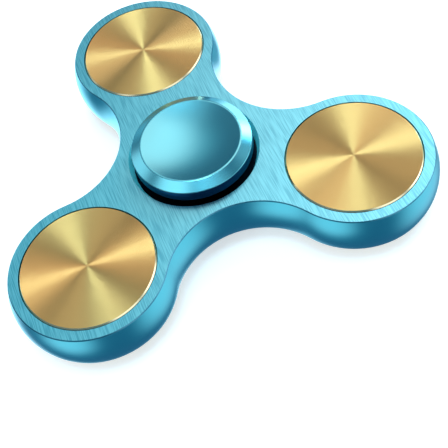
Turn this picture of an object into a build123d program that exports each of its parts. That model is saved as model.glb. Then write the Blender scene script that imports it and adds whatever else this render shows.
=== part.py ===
"""Three-lobed fidget spinner: anodised frame, screwed brass weights, ball bearing and two finger caps.

Units are millimetres.  The origin is the bearing centre, on the spin axis at mid-thickness.
+Z is the spin axis and points out of the front face, +Y points at the first lobe.
"""
import os
from math import cos, radians, sin

from build123d import *

os.makedirs("parts", exist_ok=True)

# --- Frame ---
LOBES = 3
LOBE_DISTANCE = 26.36        # spin axis to the axis of each weight
LOBE_RADIUS = 12.75          # outline of a lobe on the flat faces
NECK_DISTANCE = 12.9         # spin axis to the middle of each concave neck
FRAME_THICKNESS = 7.8
SIDE_BULGE = 0.9             # how far the convex side stands out at mid-thickness
SIDE_OVERLAP = 2.0           # how far the swept side reaches into the plate
PLATE_INSET = 1.0            # outline of the plate inside the swept side
EDGE_BEVEL = 0.15
RECESS_RADIUS = 11.05        # recess around a finger cap, at the flat face
RECESS_FLOOR_RADIUS = 10.4

# --- Brass weights ---
WEIGHT_RADIUS = 11.0
WEIGHT_PROUD = 0.15          # how far the discs stand out of the flat faces
WEIGHT_BEVEL = 0.2
SEAT_RADIUS = 11.13
LIP_RADIUS = 8.6             # hole through the lip that the two discs clamp
LIP_THICKNESS = 2.0
WEIGHT_BOSS_RADIUS = 8.5
WEIGHT_THREAD_RADIUS = 6.0
WEIGHT_STUD_DEPTH = 2.2      # how far the stud reaches past mid-thickness
THREAD_CLEARANCE = 0.05

# --- Ball bearing (6.35 x 12.7 x 4.762) ---
BEARING_WIDTH = 4.762
BEARING_BORE_RADIUS = 3.175
BEARING_OUTER_RADIUS = 6.35
PITCH_RADIUS = 4.7625
BALL_RADIUS = 1.0
BALLS = 10
BALL_PLAY = 0.03             # gap between a ball and the bottom of each groove
GROOVE_RADIUS = 1.04
INNER_LAND_RADIUS = 4.08
OUTER_LAND_RADIUS = 5.45
RING_CHAMFER = 0.2
SHIELD_SEAT_RADIUS = 5.75
SHIELD_SEAT_DEPTH = 0.63
SHIELD_THICKNESS = 0.2
SHIELD_RIM = 0.2
SHIELD_RIM_HEIGHT = 0.5
SHIELD_HOLE_RADIUS = 4.2
CAGE_INNER_RADIUS = 4.3
CAGE_OUTER_RADIUS = 5.25
CAGE_BOTTOM = -1.45
CAGE_TOP = 0.55
POCKET_RADIUS = 1.04

# --- Finger caps ---
CAP_RADIUS = 10.1
CAP_GAP = 0.25               # frame face to cap underside
CAP_SIDE_TOP = 2.2           # top of the straight side, above the frame face
CAP_HEIGHT = 3.2             # rim, above the frame face
CAP_RIM_RADIUS = 8.45
CAP_RIM_LAND = 0.25
CAP_RIM_ROUND = 0.25         # rounding on both edges of the land
CAP_EDGE_ROUND = 0.2         # rounding on the straight side's two edges
DISH_DEPTH = 1.1
CAP_SHOULDER_RADIUS = 4.0
CAP_BOSS_RADIUS = 3.16
CAP_BOSS_END = 0.1           # half the gap between the two bosses
CAP_STUD_RADIUS = 2.0
CAP_STUD_END = 4.6
CAP_HOLE_RADIUS = 2.03
CAP_HOLE_END = 4.9

HALF = FRAME_THICKNESS / 2
BEARING_HALF = BEARING_WIDTH / 2
LOBE_ANGLES = [90 + 360 / LOBES * i for i in range(LOBES)]
# Neck arcs are tangent to the lobe arcs: their radius follows from the three sizes above.
NECK_RADIUS = (LOBE_DISTANCE**2 + NECK_DISTANCE**2 - LOBE_DISTANCE * NECK_DISTANCE - LOBE_RADIUS**2) / (
    2 * LOBE_RADIUS + LOBE_DISTANCE - 2 * NECK_DISTANCE
)


def polar(radius, angle):
    """Point at this distance from the spin axis, angle in degrees from +X."""
    return Vector(radius * cos(radians(angle)), radius * sin(radians(angle)))


def outline_arcs(inset):
    """The frame's plan outline, counter-clockwise, as three points per arc."""
    lobe_radius, neck_radius = LOBE_RADIUS - inset, NECK_RADIUS + inset
    half_step = 180 / LOBES
    arcs = []
    for angle in LOBE_ANGLES:
        lobe = polar(LOBE_DISTANCE, angle)
        neck_before = polar(NECK_DISTANCE + NECK_RADIUS, angle - half_step)
        neck_after = polar(NECK_DISTANCE + NECK_RADIUS, angle + half_step)
        start = lobe + (neck_before - lobe).normalized() * lobe_radius
        end = lobe + (neck_after - lobe).normalized() * lobe_radius
        next_lobe = polar(LOBE_DISTANCE, angle + 2 * half_step)
        next_start = next_lobe + (neck_after - next_lobe).normalized() * lobe_radius
        middle = neck_after - polar(neck_radius, angle + half_step)
        arcs.append((start, polar(LOBE_DISTANCE + lobe_radius, angle), end))
        arcs.append((end, middle, next_start))
    return arcs


def save(builder, name):
    builder.part.label = name
    export_step(builder.part, f"parts/{name}.step")


# --- Frame body: flat plate with a convex side swept around its outline ---
with BuildPart() as frame_body:
    with BuildSketch(Plane.XY.offset(-HALF)):
        with BuildLine():
            for first, middle, last in outline_arcs(inset=PLATE_INSET):
                ThreePointArc(first, middle, last)
        make_face()
    extrude(amount=FRAME_THICKNESS)
    with BuildLine() as side_path:
        for first, middle, last in outline_arcs(inset=0):
            ThreePointArc(first, middle, last)
    path_start = outline_arcs(inset=0)[0][0]
    outward = (path_start - polar(LOBE_DISTANCE, LOBE_ANGLES[0])).normalized()
    along = Vector(0, 0, 1).cross(outward)
    with BuildSketch(Plane(origin=path_start, x_dir=outward, z_dir=along)):
        with BuildLine():
            side_low, side_high = HALF - EDGE_BEVEL, HALF
            # local y runs against Z here, and the section is symmetric about mid-thickness
            ThreePointArc((EDGE_BEVEL, -side_low), (SIDE_BULGE, 0), (EDGE_BEVEL, side_low))
            Polyline((EDGE_BEVEL, side_low), (0, side_high), (-SIDE_OVERLAP, side_high),
                     (-SIDE_OVERLAP, -side_high), (0, -side_high), (EDGE_BEVEL, -side_low))
        make_face()
    sweep(path=side_path.wire())
    with Locations(*[polar(LOBE_DISTANCE, a) for a in LOBE_ANGLES]):
        Cylinder(LIP_RADIUS, FRAME_THICKNESS, mode=Mode.SUBTRACT)
    for z in (-HALF, HALF):
        seat_depth = (FRAME_THICKNESS - LIP_THICKNESS) / 2
        with Locations(*[polar(LOBE_DISTANCE, a) + Vector(0, 0, z) for a in LOBE_ANGLES]):
            Cylinder(SEAT_RADIUS, 2 * seat_depth, mode=Mode.SUBTRACT)
    with BuildSketch(Plane.XZ):
        Polygon((0, HALF), (RECESS_RADIUS, HALF), (RECESS_FLOOR_RADIUS, BEARING_HALF),
                (BEARING_OUTER_RADIUS, BEARING_HALF), (BEARING_OUTER_RADIUS, -BEARING_HALF),
                (RECESS_FLOOR_RADIUS, -BEARING_HALF), (RECESS_RADIUS, -HALF), (0, -HALF), align=None)
    revolve(axis=Axis.Z, mode=Mode.SUBTRACT)
save(frame_body, "frame_body")

# --- Weights: a front disc with a stud, screwed into a back disc with a threaded boss ---
LIP_HALF = LIP_THICKNESS / 2
WEIGHT_TOP = HALF + WEIGHT_PROUD
for number, angle in enumerate(LOBE_ANGLES, start=1):
    lobe_plane = Plane(origin=polar(LOBE_DISTANCE, angle), x_dir=(1, 0, 0), z_dir=(0, -1, 0))
    lobe_axis = Axis(polar(LOBE_DISTANCE, angle), (0, 0, 1))
    with BuildPart() as weight_front:
        with BuildSketch(lobe_plane):
            Polygon((0, WEIGHT_TOP), (WEIGHT_RADIUS - WEIGHT_BEVEL, WEIGHT_TOP),
                    (WEIGHT_RADIUS, WEIGHT_TOP - WEIGHT_BEVEL), (WEIGHT_RADIUS, LIP_HALF),
                    (WEIGHT_THREAD_RADIUS - THREAD_CLEARANCE, LIP_HALF),
                    (WEIGHT_THREAD_RADIUS - THREAD_CLEARANCE, -WEIGHT_STUD_DEPTH),
                    (0, -WEIGHT_STUD_DEPTH), align=None)
        revolve(axis=lobe_axis)
    save(weight_front, f"weight_front_{number}")
    with BuildPart() as weight_back:
        with BuildSketch(lobe_plane):
            Polygon((0, -WEIGHT_TOP), (WEIGHT_RADIUS - WEIGHT_BEVEL, -WEIGHT_TOP),
                    (WEIGHT_RADIUS, -WEIGHT_TOP + WEIGHT_BEVEL), (WEIGHT_RADIUS, -LIP_HALF),
                    (WEIGHT_BOSS_RADIUS, -LIP_HALF),
                    (WEIGHT_BOSS_RADIUS, LIP_HALF - THREAD_CLEARANCE),
                    (WEIGHT_THREAD_RADIUS, LIP_HALF - THREAD_CLEARANCE),
                    (WEIGHT_THREAD_RADIUS, -WEIGHT_STUD_DEPTH - THREAD_CLEARANCE),
                    (0, -WEIGHT_STUD_DEPTH - THREAD_CLEARANCE), align=None)
        revolve(axis=lobe_axis)
    save(weight_back, f"weight_back_{number}")

# --- Bearing rings, with a ball groove each and shield seats in the outer one ---
CHAMFERED = BEARING_HALF - RING_CHAMFER
INNER_GROOVE = PITCH_RADIUS - BALL_RADIUS - BALL_PLAY + GROOVE_RADIUS
OUTER_GROOVE = PITCH_RADIUS + BALL_RADIUS + BALL_PLAY - GROOVE_RADIUS
with BuildPart() as inner_ring:
    with BuildSketch(Plane.XZ):
        Polygon((BEARING_BORE_RADIUS + RING_CHAMFER, BEARING_HALF), (INNER_LAND_RADIUS, BEARING_HALF),
                (INNER_LAND_RADIUS, -BEARING_HALF), (BEARING_BORE_RADIUS + RING_CHAMFER, -BEARING_HALF),
                (BEARING_BORE_RADIUS, -CHAMFERED), (BEARING_BORE_RADIUS, CHAMFERED), align=None)
        with Locations((INNER_GROOVE, 0)):
            Circle(GROOVE_RADIUS, mode=Mode.SUBTRACT)
    revolve(axis=Axis.Z)
save(inner_ring, "inner_ring")

SHIELD_SEAT = BEARING_HALF - SHIELD_SEAT_DEPTH
with BuildPart() as outer_ring:
    with BuildSketch(Plane.XZ):
        Polygon((OUTER_LAND_RADIUS, SHIELD_SEAT), (SHIELD_SEAT_RADIUS, SHIELD_SEAT),
                (SHIELD_SEAT_RADIUS, BEARING_HALF), (BEARING_OUTER_RADIUS - RING_CHAMFER, BEARING_HALF),
                (BEARING_OUTER_RADIUS, CHAMFERED), (BEARING_OUTER_RADIUS, -CHAMFERED),
                (BEARING_OUTER_RADIUS - RING_CHAMFER, -BEARING_HALF),
                (SHIELD_SEAT_RADIUS, -BEARING_HALF), (SHIELD_SEAT_RADIUS, -SHIELD_SEAT),
                (OUTER_LAND_RADIUS, -SHIELD_SEAT), align=None)
        with Locations((OUTER_GROOVE, 0)):
            Circle(GROOVE_RADIUS, mode=Mode.SUBTRACT)
    revolve(axis=Axis.Z)
save(outer_ring, "outer_ring")

# --- Balls, and the crown cage whose pockets snap over them from one side ---
BALL_ANGLES = [90 + 360 / BALLS * i for i in range(BALLS)]
for number, angle in enumerate(BALL_ANGLES, start=1):
    with BuildPart() as ball:
        with Locations(polar(PITCH_RADIUS, angle)):
            Sphere(BALL_RADIUS)
    save(ball, f"ball_{number}")

with BuildPart() as ball_cage:
    with BuildSketch(Plane.XY.offset(CAGE_BOTTOM)):
        Circle(CAGE_OUTER_RADIUS)
        Circle(CAGE_INNER_RADIUS, mode=Mode.SUBTRACT)
    extrude(amount=CAGE_TOP - CAGE_BOTTOM)
    with Locations(*[polar(PITCH_RADIUS, a) for a in BALL_ANGLES]):
        Sphere(POCKET_RADIUS, mode=Mode.SUBTRACT)
save(ball_cage, "ball_cage")

# --- Shields, pressed into the outer ring ---
for side, name in ((1, "front_shield"), (-1, "back_shield")):
    seat, rim_top = side * SHIELD_SEAT, side * (SHIELD_SEAT + SHIELD_RIM_HEIGHT)
    disc_top = side * (SHIELD_SEAT + SHIELD_THICKNESS)
    with BuildPart() as shield:
        with BuildSketch(Plane.XZ):
            Polygon((SHIELD_HOLE_RADIUS, seat), (SHIELD_SEAT_RADIUS, seat), (SHIELD_SEAT_RADIUS, rim_top),
                    (SHIELD_SEAT_RADIUS - SHIELD_RIM, rim_top), (SHIELD_SEAT_RADIUS - SHIELD_RIM, disc_top),
                    (SHIELD_HOLE_RADIUS, disc_top), align=None)
        revolve(axis=Axis.Z)
    save(shield, name)

# --- Finger caps: bevelled pads with a dished face, screwed together through the bearing bore ---
DISH_RADIUS = CAP_RIM_RADIUS - CAP_RIM_LAND
DISH_SPHERE = (DISH_RADIUS**2 + DISH_DEPTH**2) / (2 * DISH_DEPTH)
DISH_SAGITTA = DISH_SPHERE - (DISH_SPHERE**2 - (DISH_RADIUS / 2) ** 2) ** 0.5
RIM = HALF + CAP_HEIGHT
DISH_BOTTOM = RIM - DISH_DEPTH
for side, name in ((1, "front_cap"), (-1, "back_cap")):
    with BuildPart() as cap:
        with BuildSketch(Plane.XZ) as profile:
            with BuildLine():
                ThreePointArc((0, side * DISH_BOTTOM), (DISH_RADIUS / 2, side * (DISH_BOTTOM + DISH_SAGITTA)),
                              (DISH_RADIUS, side * RIM))
                Polyline((DISH_RADIUS, side * RIM), (CAP_RIM_RADIUS, side * RIM),
                         (CAP_RADIUS, side * (HALF + CAP_SIDE_TOP)), (CAP_RADIUS, side * (HALF + CAP_GAP)),
                         (CAP_SHOULDER_RADIUS, side * (HALF + CAP_GAP)),
                         (CAP_SHOULDER_RADIUS, side * BEARING_HALF), (CAP_BOSS_RADIUS, side * BEARING_HALF),
                         (CAP_BOSS_RADIUS, side * CAP_BOSS_END), (0, side * CAP_BOSS_END),
                         (0, side * DISH_BOTTOM))
            make_face()
            rim = profile.vertices().filter_by_position(Axis.X, DISH_RADIUS, CAP_RIM_RADIUS)
            fillet(rim, CAP_RIM_ROUND)
            fillet(profile.vertices().group_by(Axis.X)[-1], CAP_EDGE_ROUND)
        revolve(axis=Axis.Z)
        # the back cap's stud screws into the front cap's hole
        with BuildSketch(Plane.XY.offset(side * CAP_BOSS_END)):
            Circle(CAP_HOLE_RADIUS if side > 0 else CAP_STUD_RADIUS)
        if side > 0:
            extrude(amount=CAP_HOLE_END - CAP_BOSS_END, mode=Mode.SUBTRACT)
        else:
            extrude(amount=CAP_STUD_END + CAP_BOSS_END)
    save(cap, name)
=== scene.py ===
"""Looks, light and camera for the three-lobed fidget spinner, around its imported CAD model.  Metres."""

from math import cos, radians, sin

import bpy
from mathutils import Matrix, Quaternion, Vector


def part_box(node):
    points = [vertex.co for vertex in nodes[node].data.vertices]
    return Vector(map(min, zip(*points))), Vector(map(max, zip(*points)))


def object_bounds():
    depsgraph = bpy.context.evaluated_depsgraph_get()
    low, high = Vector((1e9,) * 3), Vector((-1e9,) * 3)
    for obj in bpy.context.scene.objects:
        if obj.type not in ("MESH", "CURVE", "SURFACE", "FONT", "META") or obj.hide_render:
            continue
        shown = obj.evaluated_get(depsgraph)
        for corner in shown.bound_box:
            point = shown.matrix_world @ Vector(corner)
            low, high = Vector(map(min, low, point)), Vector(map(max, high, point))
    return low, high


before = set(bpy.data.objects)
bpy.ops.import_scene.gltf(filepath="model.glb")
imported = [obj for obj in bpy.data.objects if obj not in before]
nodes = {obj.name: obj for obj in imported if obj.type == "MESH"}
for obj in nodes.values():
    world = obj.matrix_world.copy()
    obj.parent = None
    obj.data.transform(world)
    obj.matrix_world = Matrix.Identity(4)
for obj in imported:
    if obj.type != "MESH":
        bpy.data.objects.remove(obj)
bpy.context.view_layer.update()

MM = 0.001
face_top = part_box("frame_body")[1].z
floor_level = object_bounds()[0].z
RECESS_RADIUS = 11.1 * MM

# Colours are linear RGB.
TURQUOISE = (0.08, 0.40, 0.49)
# painted shade: the cap's straight side is coloured this dark navy
CAP_SIDE_PAINTED_SHADE = (0.002, 0.02, 0.07)
FACE_DARK = (0.05, 0.33, 0.43)
FACE_LIGHT = (0.11, 0.48, 0.58)
# painted light: a pale, non-metal copy of the turquoise for the recess wall, so it reads as lit inside the
# cap's shade
RECESS_WALL_PAINTED_LIGHT = (0.12, 0.80, 0.92)
# painted shade: the recess floor under the cap is coloured near black
PIT_PAINTED_SHADE = (0.003, 0.008, 0.015)
# painted shade: the frame's rounded edge is coloured dark to draw a dark line
EDGE_PAINTED_SHADE = (0.02, 0.20, 0.30)
TURQUOISE_SIDE = (0.05, 0.50, 0.62)
BRASS = (0.57, 0.335, 0.115)
# painted highlight: the disc's bevel is coloured a paler cream than the face brass, to read as a highlight
# line
BRASS_BEVEL_HIGHLIGHT = (0.92, 0.78, 0.50)
# painted shade: the disc's straight side, seen in the gap, is coloured near black
BRASS_WALL_SHADE = (0.10, 0.06, 0.03)
GROOVES = 2400.0             # radians across one disc width
GROOVE_SLOPE = 0.49
DISC_MIDDLE = 0.5            # of the disc's width, in generated coordinates
FLAT_TILT = 0.98             # the least normal Z of a flat face
EDGE_TILT = 0.6              # the least normal Z of the frame's rounded edge
WALL_TILT = 0.3              # the most normal Z of a disc's straight side
PIT_DEPTH = 0.5 * MM         # a flat surface further below the face than this is the recess floor
FINE_STROKES = (6200.0, 220.0, 1.0)      # noise cells per metre along X and Y
BROAD_STROKES = (3000.0, 110.0, 1.0)
FINE_SHARE = 0.85
BROAD_SHARE = 0.15
STREAK_DARK = 0.36           # noise at and below which a streak is dark
STREAK_LIGHT = 0.60          # noise at and above which it is light
STROKE_RELIEF = 0.03 * MM
CAP_WALL_TILT = 0.10         # normal Z up to which the cap has its side's colour
CAP_PAD_TILT = 0.45          # normal Z from which it has its pad's colour


# ---------------------------------------------------------------- shader helpers
class Shader:
    """A material's node tree with short calls for the nodes that these materials use."""

    def __init__(self, name):
        self.material = bpy.data.materials.new(name)
        self.material.use_nodes = True
        self.tree = self.material.node_tree
        self.bsdf = self.tree.nodes["Principled BSDF"]

    def node(self, kind, inputs=None, **settings):
        made = self.tree.nodes.new("ShaderNode" + kind)
        for key, value in settings.items():
            setattr(made, key, value)
        for key, value in (inputs or {}).items():
            self.put(made.inputs[key], value)
        return made

    def put(self, socket, value):
        if isinstance(value, bpy.types.NodeSocket):
            self.tree.links.new(value, socket)
        elif isinstance(value, (tuple, list)) and len(value) == 3 and socket.type == "RGBA":
            socket.default_value = (*value, 1.0)
        else:
            socket.default_value = value

    def set(self, **inputs):
        for key, value in inputs.items():
            self.put(self.bsdf.inputs[key.replace("_", " ")], value)

    def math(self, operation, *values):
        made = self.node("Math", operation=operation)
        for socket, value in zip(made.inputs, values):
            self.put(socket, value)
        return made.outputs[0]

    def spread(self, value, low, high, out_low=0.0, out_high=1.0):
        """Value from low..high to out_low..out_high, clamped and eased."""
        made = self.node("MapRange", {0: value, 1: low, 2: high, 3: out_low, 4: out_high},
                         interpolation_type="SMOOTHSTEP")
        return made.outputs[0]

    def mix(self, factor, first, second):
        """Colour mix: input 0 is the factor, and 6 and 7 are the colours."""
        made = self.node("Mix", data_type="RGBA")
        self.put(made.inputs[0], factor)
        self.put(made.inputs[6], first)
        self.put(made.inputs[7], second)
        return made.outputs[2]

    def noise(self, vector):
        return self.node("TexNoise", {"Vector": vector, "Scale": 1.0, "Detail": 1.0,
                                      "Roughness": 0.5}).outputs["Fac"]

    def stretched(self, vector, scale):
        return self.node("Mapping", {"Vector": vector, "Scale": scale}).outputs["Vector"]

    def bump(self, height, strength, distance):
        made = self.node("Bump", {"Height": height, "Strength": strength, "Distance": distance})
        return made.outputs["Normal"]


def use(material, *names):
    for name in names:
        for place in nodes[name].material_slots:
            place.material = material


# ---------------------------------------------------------------- materials
def brushed_frame():
    """Anodised aluminium: straight fine brushing on the two flat faces, smooth satin on the sides, painted
    shade as a dark line on the rounded edge and on the recess floor, and painted light on the recess wall.
    """
    s = Shader("anodised_frame")
    coord = s.node("TexCoord")
    place = coord.outputs["Object"]
    tilt = s.math("ABSOLUTE", s.node("SeparateXYZ", {0: coord.outputs["Normal"]}).outputs["Z"])
    flat = s.math("GREATER_THAN", tilt, FLAT_TILT)
    side = s.math("SUBTRACT", 1.0, flat)
    edge = s.math("MULTIPLY", side, s.math("GREATER_THAN", tilt, EDGE_TILT))
    height = s.math("ABSOLUTE", s.node("SeparateXYZ", {0: place}).outputs["Z"])
    sideways = s.stretched(place, (1.0, 1.0, 0.0))
    from_axis = s.node("VectorMath", {0: sideways}, operation="LENGTH").outputs["Value"]
    recess = s.math("LESS_THAN", from_axis, RECESS_RADIUS)
    # painted shade: the flat recess floor below the face
    shaded_pit = s.math("MULTIPLY", flat, s.math("LESS_THAN", height, face_top - PIT_DEPTH))
    # long thin streaks along Y, in two widths
    fine = s.noise(s.stretched(place, FINE_STROKES))
    broad = s.noise(s.stretched(place, BROAD_STROKES))
    streak = s.math("ADD", s.math("MULTIPLY", fine, FINE_SHARE), s.math("MULTIPLY", broad, BROAD_SHARE))
    face = s.mix(s.spread(streak, STREAK_DARK, STREAK_LIGHT), FACE_DARK, FACE_LIGHT)
    # the rounded edge gets painted shade, a dark line
    colour = s.mix(flat, s.mix(edge, TURQUOISE_SIDE, EDGE_PAINTED_SHADE), face)
    # painted light: the recess wall gets a pale non-metal colour
    lit_recess_wall = s.math("MULTIPLY", side, recess)
    satin = s.math("SUBTRACT", 1.0, s.math("MAXIMUM", lit_recess_wall, shaded_pit))
    # painted shade on the recess floor, painted light on the recess wall
    s.set(Base_Color=s.mix(shaded_pit, s.mix(lit_recess_wall, colour, RECESS_WALL_PAINTED_LIGHT), PIT_PAINTED_SHADE),
          Metallic=s.math("SUBTRACT", 1.0, lit_recess_wall), Coat_Weight=s.math("MULTIPLY", satin, 0.9),
          Coat_Roughness=0.25, Coat_IOR=1.6, Specular_Tint=(0.45, 0.8, 0.95, 1.0), Roughness=0.34,
          Anisotropic=s.math("MULTIPLY", flat, 0.75))
    across = s.node("VectorTransform", {0: (1.0, 0.0, 0.0)}, vector_type="VECTOR",
                    convert_from="OBJECT", convert_to="WORLD").outputs[0]
    s.set(Tangent=across)
    s.set(Normal=s.bump(s.math("MULTIPLY", streak, flat), 0.35, STROKE_RELIEF))
    return s.material


def anodised_cap():
    """Anodised aluminium, smooth on the pad, with painted shade on the straight side, which is coloured dark
    navy.
    """
    s = Shader("anodised_cap")
    up = s.node("SeparateXYZ", {0: s.node("TexCoord").outputs["Normal"]}).outputs["Z"]
    # painted shade: the straight side is coloured navy
    shaded_wall = s.spread(s.math("ABSOLUTE", up), CAP_WALL_TILT, CAP_PAD_TILT, 1.0, 0.0)
    s.set(Base_Color=s.mix(shaded_wall, TURQUOISE, CAP_SIDE_PAINTED_SHADE), Metallic=1.0, Roughness=0.25,
          Specular_Tint=(0.35, 0.75, 0.9, 1.0), Coat_Roughness=0.2,
          Coat_Weight=s.math("SUBTRACT", 1.0, s.math("MULTIPLY", shaded_wall, 0.8)))
    return s.material


def turned_brass():
    """Brass faced on a lathe: fine concentric grooves that throw bright rays, a polished bevel painted a
    paler cream as a highlight, and a straight side painted dark as shade.
    """
    s = Shader("turned_brass")
    coord = s.node("TexCoord")
    tilt = s.math("ABSOLUTE", s.node("SeparateXYZ", {0: coord.outputs["Normal"]}).outputs["Z"])
    flat = s.math("GREATER_THAN", tilt, FLAT_TILT)
    # painted shade goes on the straight side
    shaded_wall = s.math("LESS_THAN", tilt, WALL_TILT)
    # the grooves are V-shaped: their flanks lean towards and away from the disc's axis in turn
    centred = s.node("Mapping", {"Vector": coord.outputs["Generated"],
                                 "Location": (-DISC_MIDDLE, -DISC_MIDDLE, 0.0),
                                 "Scale": (1.0, 1.0, 0.0)}).outputs["Vector"]
    radius = s.node("VectorMath", {0: centred}, operation="LENGTH").outputs["Value"]
    wave = s.math("SIGN", s.math("SINE", s.math("MULTIPLY", radius, GROOVES)))
    around = s.node("Tangent", direction_type="RADIAL", axis="Z").outputs[0]
    normal = s.node("NewGeometry").outputs["Normal"]
    outward = s.node("VectorMath", {0: around, 1: normal}, operation="CROSS_PRODUCT").outputs["Vector"]
    slope = s.math("MULTIPLY", s.math("MULTIPLY", wave, GROOVE_SLOPE), flat)
    lean = s.node("VectorMath", {0: outward, 3: slope}, operation="SCALE").outputs["Vector"]
    leaning = s.node("VectorMath", {0: normal, 1: lean}, operation="ADD").outputs["Vector"]
    # painted highlight on the bevel, painted shade on the straight side
    s.set(Base_Color=s.mix(shaded_wall, s.mix(flat, BRASS_BEVEL_HIGHLIGHT, BRASS), BRASS_WALL_SHADE), Metallic=1.0,
          Roughness=s.math("ADD", 0.15, s.math("MULTIPLY", flat, 0.26)),
          Anisotropic=s.math("MULTIPLY", flat, 0.72), Anisotropic_Rotation=0.25, Tangent=around,
          Normal=s.node("VectorMath", {0: leaning}, operation="NORMALIZE").outputs["Vector"])
    return s.material


def plain(name, colour, metallic, roughness):
    s = Shader(name)
    s.set(Base_Color=colour, Metallic=metallic, Roughness=roughness)
    return s.material


use(brushed_frame(), "frame_body")
use(anodised_cap(), "front_cap", "back_cap")
use(turned_brass(), *[n for n in nodes if n.startswith("weight_")])
use(plain("ring_steel", (0.55, 0.56, 0.58), 1.0, 0.25), "outer_ring", "inner_ring")
balls = [n for n in nodes if n.startswith("ball_") and n != "ball_cage"]
use(plain("ball_steel", (0.80, 0.80, 0.82), 1.0, 0.08), *balls)
use(plain("cage_nylon", (0.70, 0.66, 0.52), 0.0, 0.5), "ball_cage")
use(plain("shield_black", (0.02, 0.02, 0.022), 0.6, 0.4), "front_shield", "back_shield")

# ---------------------------------------------------------------- camera
CAMERA_TARGET = Vector((-0.77 * MM, -15.78 * MM, face_top))
CAMERA_DISTANCE = 137.84 * MM
CAMERA_AZIMUTH = -8.99
CAMERA_ELEVATION = 55.64
CAMERA_ROLL = -15.25
CAMERA_LENS = 71.08

away = Vector((sin(radians(CAMERA_AZIMUTH)) * cos(radians(CAMERA_ELEVATION)),
               -cos(radians(CAMERA_AZIMUTH)) * cos(radians(CAMERA_ELEVATION)),
               sin(radians(CAMERA_ELEVATION))))
camera = bpy.data.objects.new("camera", bpy.data.cameras.new("camera"))
bpy.context.scene.collection.objects.link(camera)
bpy.context.scene.camera = camera
camera.data.lens = CAMERA_LENS
camera.data.sensor_width = 36.0
camera.data.clip_start = 0.01
camera.rotation_mode = "QUATERNION"
camera.location = CAMERA_TARGET + away * CAMERA_DISTANCE
level = (-away).to_track_quat("-Z", "Y")
camera.rotation_quaternion = Quaternion(away, radians(CAMERA_ROLL)) @ level

# ---------------------------------------------------------------- floor
FLOOR_HALF = 1.5
FLOOR_GLOW = 0.56            # brightness that the floor adds for the camera
bpy.ops.mesh.primitive_plane_add(size=2 * FLOOR_HALF, location=(0, 0, floor_level))
floor = bpy.context.object
floor.name = "floor"
floor.visible_glossy = False
white = Shader("pale_floor")
seen = white.node("LightPath").outputs["Is Camera Ray"]
white.set(Base_Color=(0.6, 0.6, 0.6), Roughness=0.5, Emission_Color=(1.0, 1.0, 1.0),
          Emission_Strength=white.math("MULTIPLY", seen, FLOOR_GLOW))
floor.data.materials.append(white.material)


# ---------------------------------------------------------------- light
def direction(azimuth, elevation):
    """Unit vector, azimuth counter-clockwise from +X."""
    a, e = radians(azimuth), radians(elevation)
    return Vector((cos(a) * cos(e), sin(a) * cos(e), sin(e)))


WARM = Vector((1.5, 1.0, 0.86))
WHITE = Vector((0.95, 1.0, 1.0))
COOL = Vector((0.5, 1.0, 1.05))
GREENISH = Vector((0.76, 1.2, 1.4))
# azimuth, elevation, half angle of the even middle, half angle where it ends, brightness, colour
# The brightnesses started from a least-squares fit to the photograph and were then changed.
# Lamps below the horizon show only in reflections, as the floor is hidden from those.
LAMPS = {
    "key": (51, 51, 12, 26, 1.45, WARM),
    "mirror": (73, 49, 6, 20, 0.5, COOL),
    "high": (72, 74, 6, 20, 0.6, WHITE),
    "overhead": (264, 84, 5, 14, 13.5, GREENISH),
    "low_right": (33, 25, 4, 13, 12.5, GREENISH),
    "low_back": (50, 4, 8, 19, 2.6, WHITE),
    "front_right": (347, 21, 6, 28, 1.5, WHITE),
    "front_low": (295, 30, 6, 28, 1.1, WHITE),
    "front_high": (288, 66, 5, 22, 0.5, WHITE),
    "left_high": (196, 55, 8, 25, 2.0, WHITE),
    "left": (138, 28, 7, 24, 1.5, WHITE),
    "left_strip": (214, -20, 6, 36, 1.15, WHITE),
    "left_low": (125, -38, 8, 32, 0.7, WHITE),
    "right_strip": (340, -20, 14, 50, 1.0, WHITE),
    "back_strip": (95, -35, 20, 50, 1.05, COOL),
    "back_right": (62, -42, 8, 26, 1.4, WHITE),
}
SKY_HIGH = (0.12, 0.23, 0.31)
SKY_LOW = (0.07, 0.19, 0.30)
HORIZON = 0.15               # half the height of the band where the two sky colours blend
BACKDROP = (1.0, 1.0, 1.0)

studio = bpy.data.worlds.new("studio")
bpy.context.scene.world = studio
studio.use_nodes = True
light_tree = studio.node_tree


def sky_node(kind, inputs, **settings):
    made = light_tree.nodes.new("ShaderNode" + kind)
    for key, value in settings.items():
        setattr(made, key, value)
    for key, value in inputs.items():
        if isinstance(value, bpy.types.NodeSocket):
            light_tree.links.new(value, made.inputs[key])
        else:
            made.inputs[key].default_value = value
    return made.outputs


way = sky_node("TexCoord", {})["Generated"]
up = sky_node("SeparateXYZ", {0: way})["Z"]
# inputs 7 to 10 of a vector Map Range are from min, from max, to min and to max
light = sky_node("MapRange", {"Vector": up, 7: (-HORIZON,) * 3, 8: (HORIZON,) * 3, 9: SKY_LOW, 10: SKY_HIGH},
                 data_type="FLOAT_VECTOR")["Vector"]
for azimuth, elevation, middle, end, strength, colour in LAMPS.values():
    towards = direction(azimuth, elevation)
    outer, inner = cos(radians(end)), cos(radians(middle))
    near = sky_node("VectorMath", {0: way, 1: towards}, operation="DOT_PRODUCT")["Value"]
    lamp = sky_node("MapRange", {0: near, 1: outer, 2: inner, 3: 0.0, 4: strength},
                    interpolation_type="SMOOTHSTEP")[0]
    glow = sky_node("VectorMath", {0: colour, 3: lamp}, operation="SCALE")[0]
    light = sky_node("VectorMath", {0: light, 1: glow}, operation="ADD")[0]
seen = sky_node("LightPath", {})["Is Camera Ray"]
shown = sky_node("Mix", {0: seen, 6: light, 7: (*BACKDROP, 1.0)}, data_type="RGBA")[2]
light_tree.links.new(shown, light_tree.nodes["Background"].inputs["Color"])

bpy.context.scene.view_settings.view_transform = "Standard"
